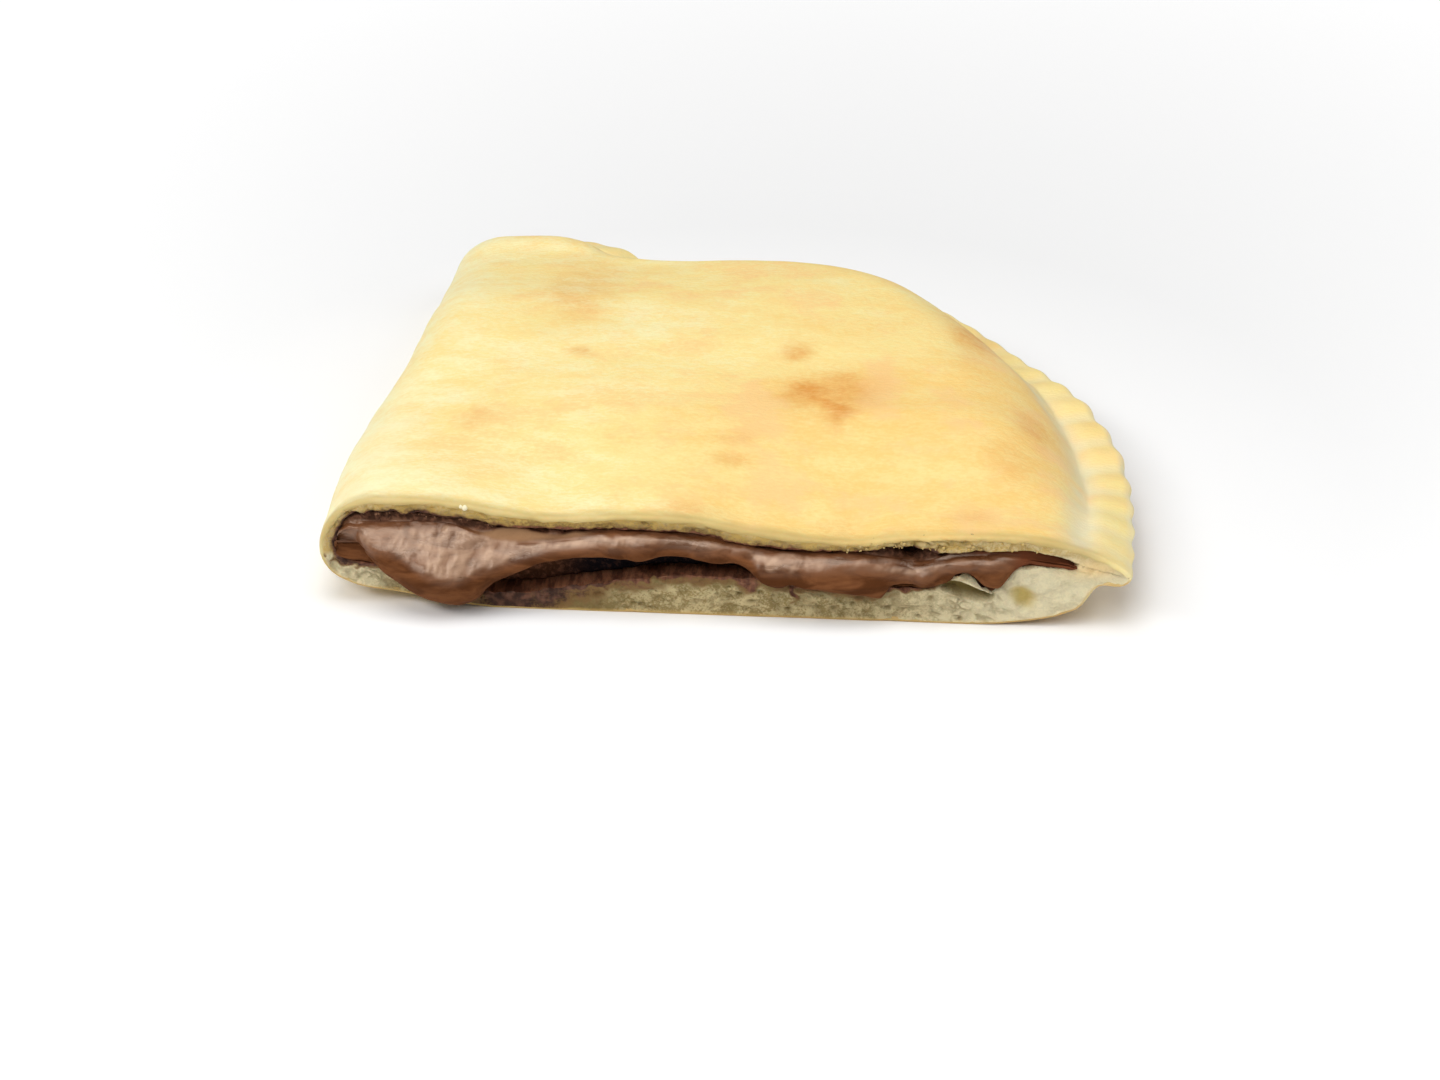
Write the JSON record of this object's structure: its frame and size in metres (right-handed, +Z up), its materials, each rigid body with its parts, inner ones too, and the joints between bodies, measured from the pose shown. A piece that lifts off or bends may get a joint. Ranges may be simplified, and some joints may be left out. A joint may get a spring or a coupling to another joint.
{
  "type": "half of a chocolate-filled folded pie",
  "caption": "Half of a baked half-moon pie: pizza dough folded over chocolate spread, crimped along its round edge and cut across, with the chocolate running out of the cut.",
  "frame": {"origin": "middle of the footprint, on the surface that it lies on", "axes": "+Z up; the cut face looks towards -Y, the fold is on the -X side and the crimped rim runs round +X and +Y"},
  "size_m": [0.1344, 0.1344, 0.0226],
  "materials": {
    "baked_dough": "baked pizza dough: pale golden, matt and finely mottled, toasted brown in spots, with a cream-coloured open crumb where it is cut",
    "chocolate_spread": "warm milk-chocolate and hazelnut spread: thick, smooth and softly glossy"
  },
  "bodies": {
    "root": {"dough": "baked_dough", "chocolate_filling": "chocolate_spread"}
  },
  "joints": []
}
